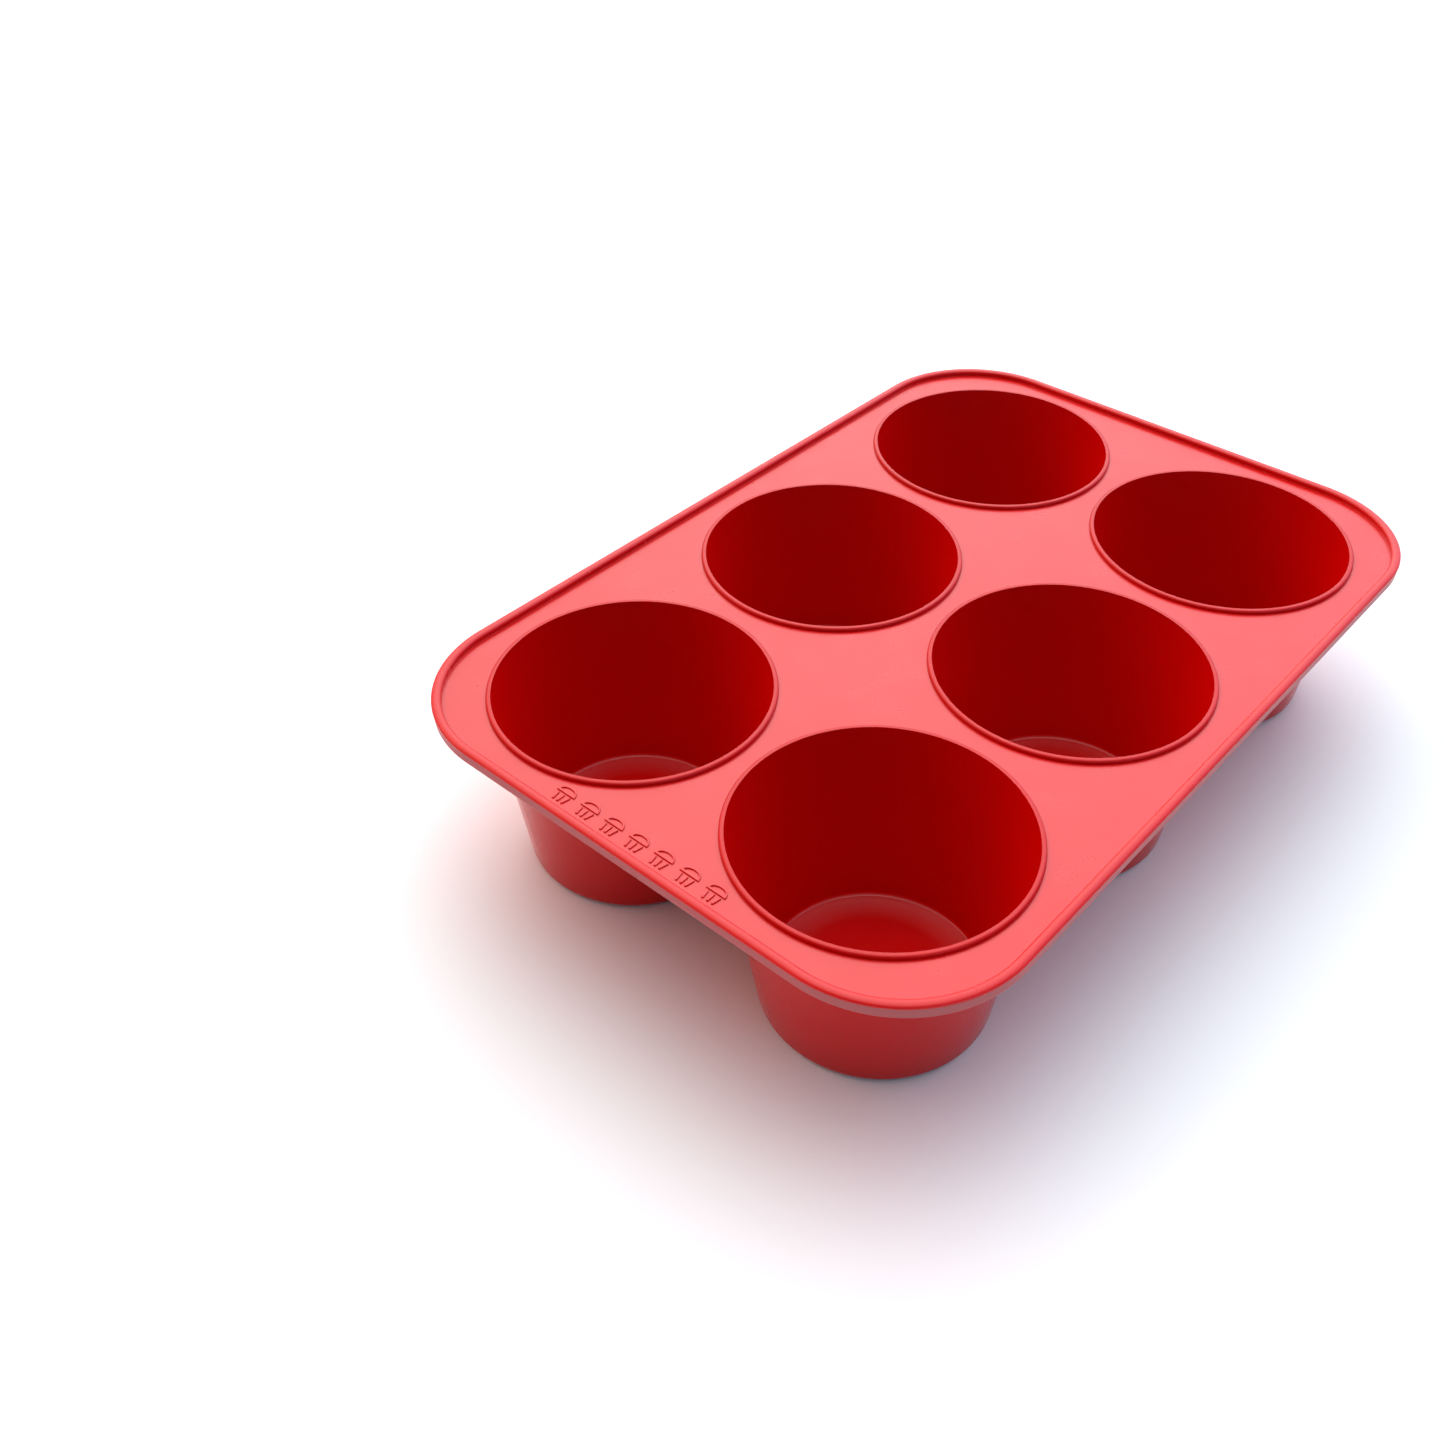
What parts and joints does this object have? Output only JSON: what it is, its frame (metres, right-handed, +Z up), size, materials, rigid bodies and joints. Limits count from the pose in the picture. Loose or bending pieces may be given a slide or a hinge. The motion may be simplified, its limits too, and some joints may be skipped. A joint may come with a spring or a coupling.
{
  "type": "muffin tin",
  "caption": "Jumbo muffin tin moulded in red silicone: deep tapered cups with raised lips hang from a flat deck that has a rounded bead round its edge.",
  "frame": {"origin": "on the surface that the cups stand on, under the middle of the pan", "axes": "+X along the long side, away from the end with the row of raised marks; +Y across the pan from the front row of cups to the back row; +Z up"},
  "size_m": [0.3134, 0.2134, 0.0619],
  "materials": {
    "deck_silicone": "satin",
    "bead_silicone": "gloss",
    "cup_silicone": "satin"
  },
  "bodies": {
    "root": {"deck": "deck_silicone", "rim_bead": "bead_silicone", "cup_front_left": "cup_silicone", "cup_front_middle": "cup_silicone", "cup_front_right": "cup_silicone", "cup_back_left": "cup_silicone", "cup_back_middle": "cup_silicone", "cup_back_right": "cup_silicone"}
  },
  "joints": []
}
